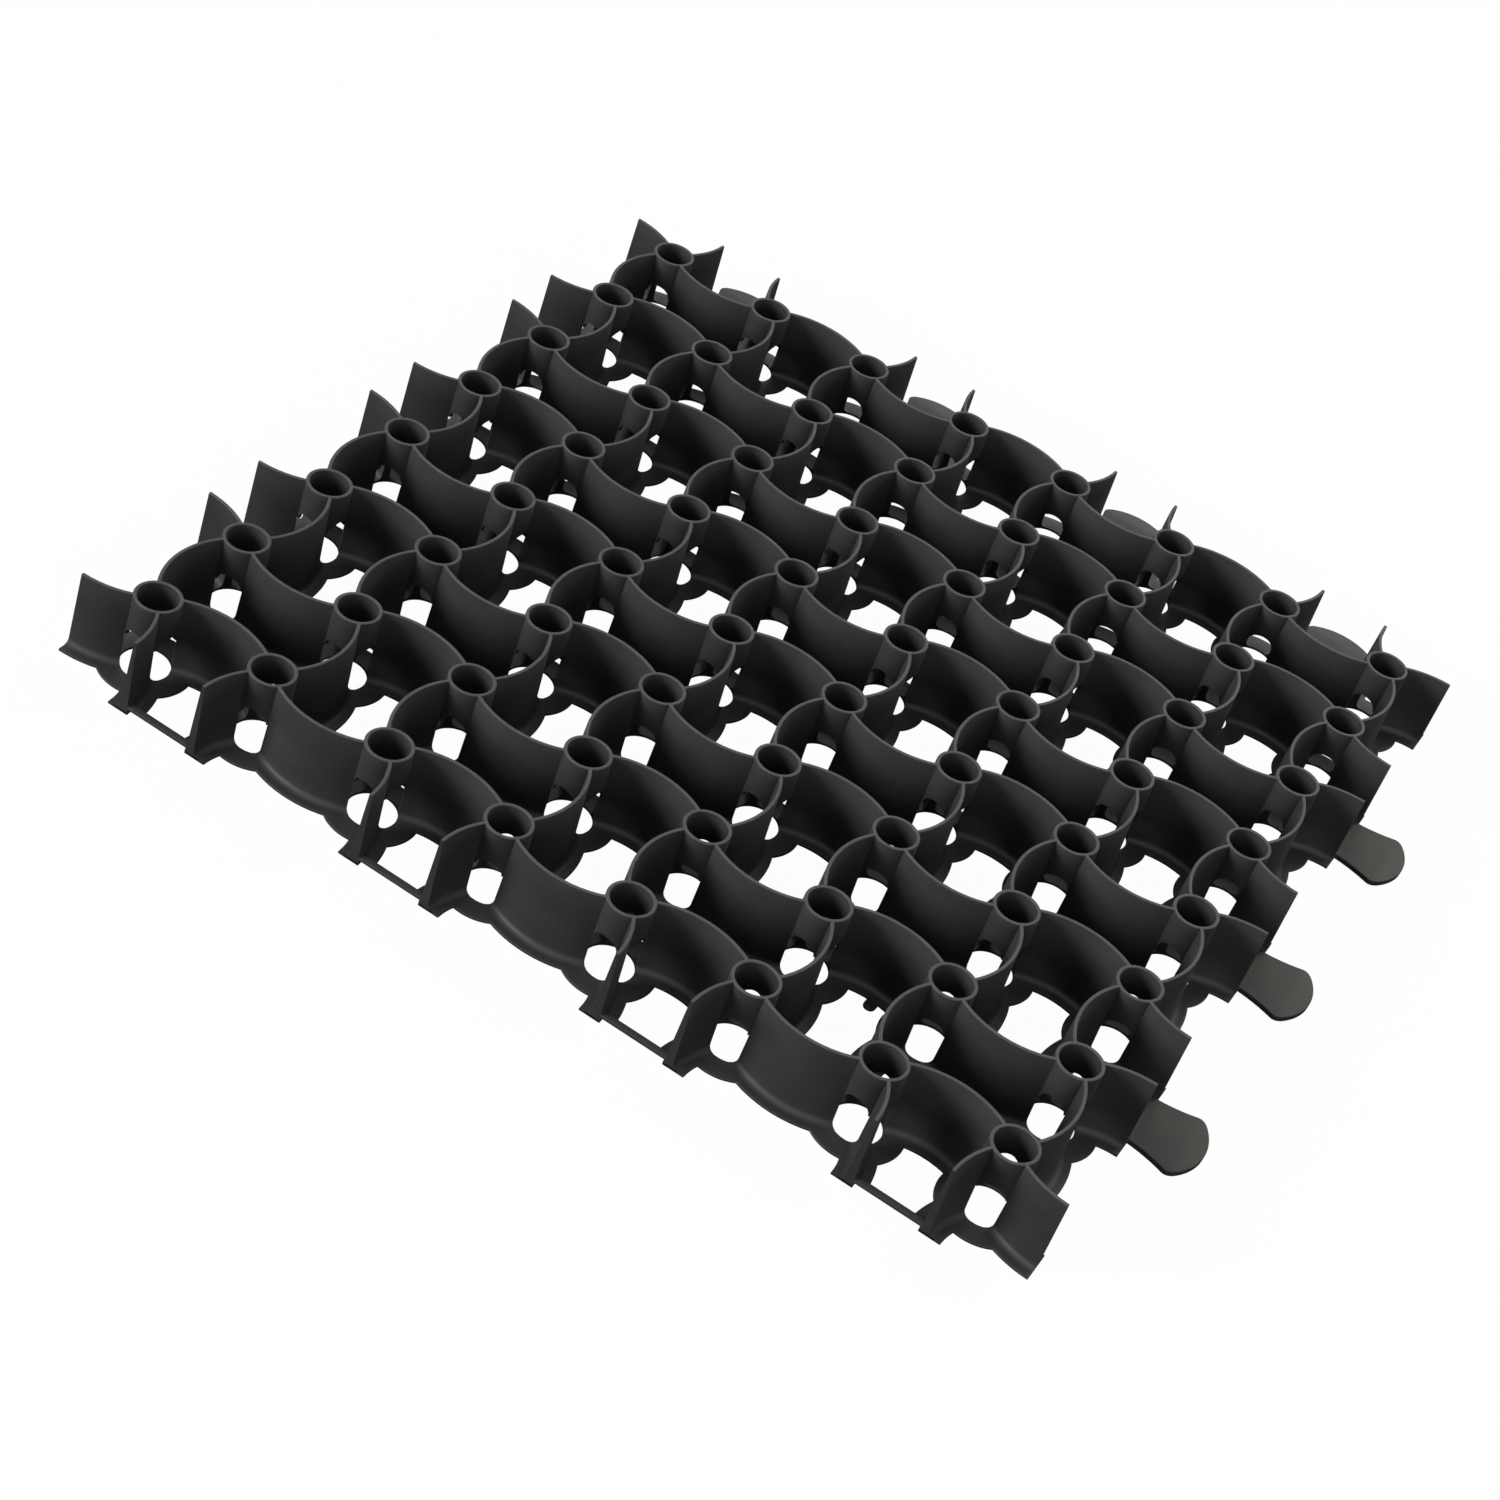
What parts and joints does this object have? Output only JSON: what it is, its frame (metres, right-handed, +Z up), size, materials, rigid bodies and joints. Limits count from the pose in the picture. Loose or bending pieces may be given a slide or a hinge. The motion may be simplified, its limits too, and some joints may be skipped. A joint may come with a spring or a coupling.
{
  "type": "grass paver grid",
  "caption": "Square plastic grass paver panel of round tubes joined by curved walls, with a perforated base and flat interlocking tongues on two sides.",
  "frame": {"origin": "middle of the footprint, tongues included, on the floor under the base", "axes": "+Z up towards the open tops of the cells, +X towards the side with three tongues, +Y towards the side with four tongues"},
  "size_m": [0.53, 0.53, 0.04],
  "materials": {
    "black_plastic": "matte"
  },
  "bodies": {
    "root": {"paver_grid": "black_plastic"}
  },
  "joints": []
}
